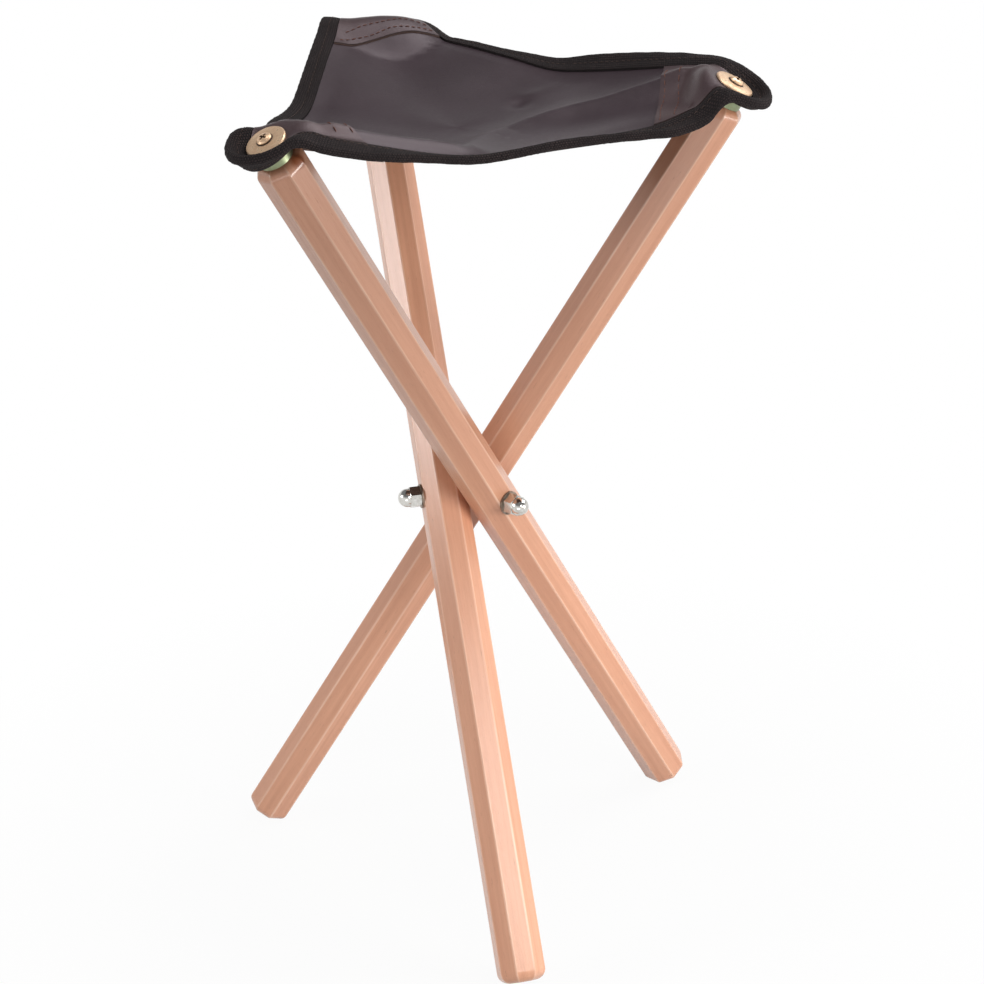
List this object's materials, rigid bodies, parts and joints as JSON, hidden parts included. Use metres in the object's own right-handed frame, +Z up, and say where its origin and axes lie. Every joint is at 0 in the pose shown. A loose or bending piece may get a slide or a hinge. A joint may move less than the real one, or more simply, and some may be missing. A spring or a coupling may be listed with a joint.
{
  "type": "tripod folding stool",
  "caption": "Folding tripod stool with crossed octagonal beech legs on a three-way bolt and a triangular leather seat screwed to the leg tops.",
  "frame": {"origin": "the point on the floor straight below the middle of the three-way bolt, stool open", "axes": "+Z up; +Y towards the seat's back corner; -Y towards the front side of the seat and the front foot; +X to the right"},
  "size_m": [0.347, 0.379, 0.5784],
  "materials": {
    "beech": "satin clear lacquer, pinkish beech",
    "zinc_steel": "zinc plated",
    "nickel_steel": "bright nickel plate",
    "yellow_zinc": "yellow passivated zinc plate",
    "brass": "pale brass, lightly brushed",
    "leather": "dark aubergine brown, semi-matt",
    "binding": "near black ribbed tape"
  },
  "bodies": {
    "hub": {"three_way_bolt": "zinc_steel", "pivot_washer_left": "zinc_steel", "pivot_washer_right": "zinc_steel", "pivot_washer_back": "zinc_steel", "acorn_nut_left": "nickel_steel", "acorn_nut_right": "nickel_steel", "acorn_nut_back": "nickel_steel"},
    "left_leg": {"leg_left": "beech", "collar_left": "yellow_zinc", "seat_washer_left": "brass", "seat_screw_left": "brass"},
    "right_leg": {"leg_right": "beech", "collar_right": "yellow_zinc", "seat_washer_right": "brass", "seat_screw_right": "brass"},
    "back_leg": {"leg_back": "beech", "collar_back": "yellow_zinc", "seat_washer_back": "brass", "seat_screw_back": "brass"},
    "seat": {"seat_panel": "leather", "corner_patch_left": "leather", "corner_patch_right": "leather", "corner_patch_back": "leather", "edge_binding": "binding"}
  },
  "joints": [
    {"name": "fold_left", "type": "hinge", "parent": "hub", "child": "left_leg", "pos_m": [0, 0, 0.28177], "axis": [-0.5, 0.866, 0], "range_deg": [0, 32]},
    {"name": "fold_right", "type": "hinge", "parent": "hub", "child": "right_leg", "pos_m": [0, 0, 0.28177], "axis": [-0.5, -0.866, 0], "range_deg": [0, 32]},
    {"name": "fold_back", "type": "hinge", "parent": "hub", "child": "back_leg", "pos_m": [0, 0, 0.28177], "axis": [1, 0, 0], "range_deg": [0, 32]},
    {"name": "seat_rise", "type": "slide", "parent": "hub", "child": "seat", "axis": [0, 0, 1], "range_m": [0, 0.0905], "deforming": ["seat_panel", "corner_patch_left", "corner_patch_right", "corner_patch_back", "edge_binding"]}
  ],
  "couplings": [
    {"joint": "fold_right", "follows": "fold_left", "ratio": 1},
    {"joint": "fold_back", "follows": "fold_left", "ratio": 1},
    {"joint": "seat_rise", "follows": "fold_left", "m_per_rad": 0.16114}
  ]
}
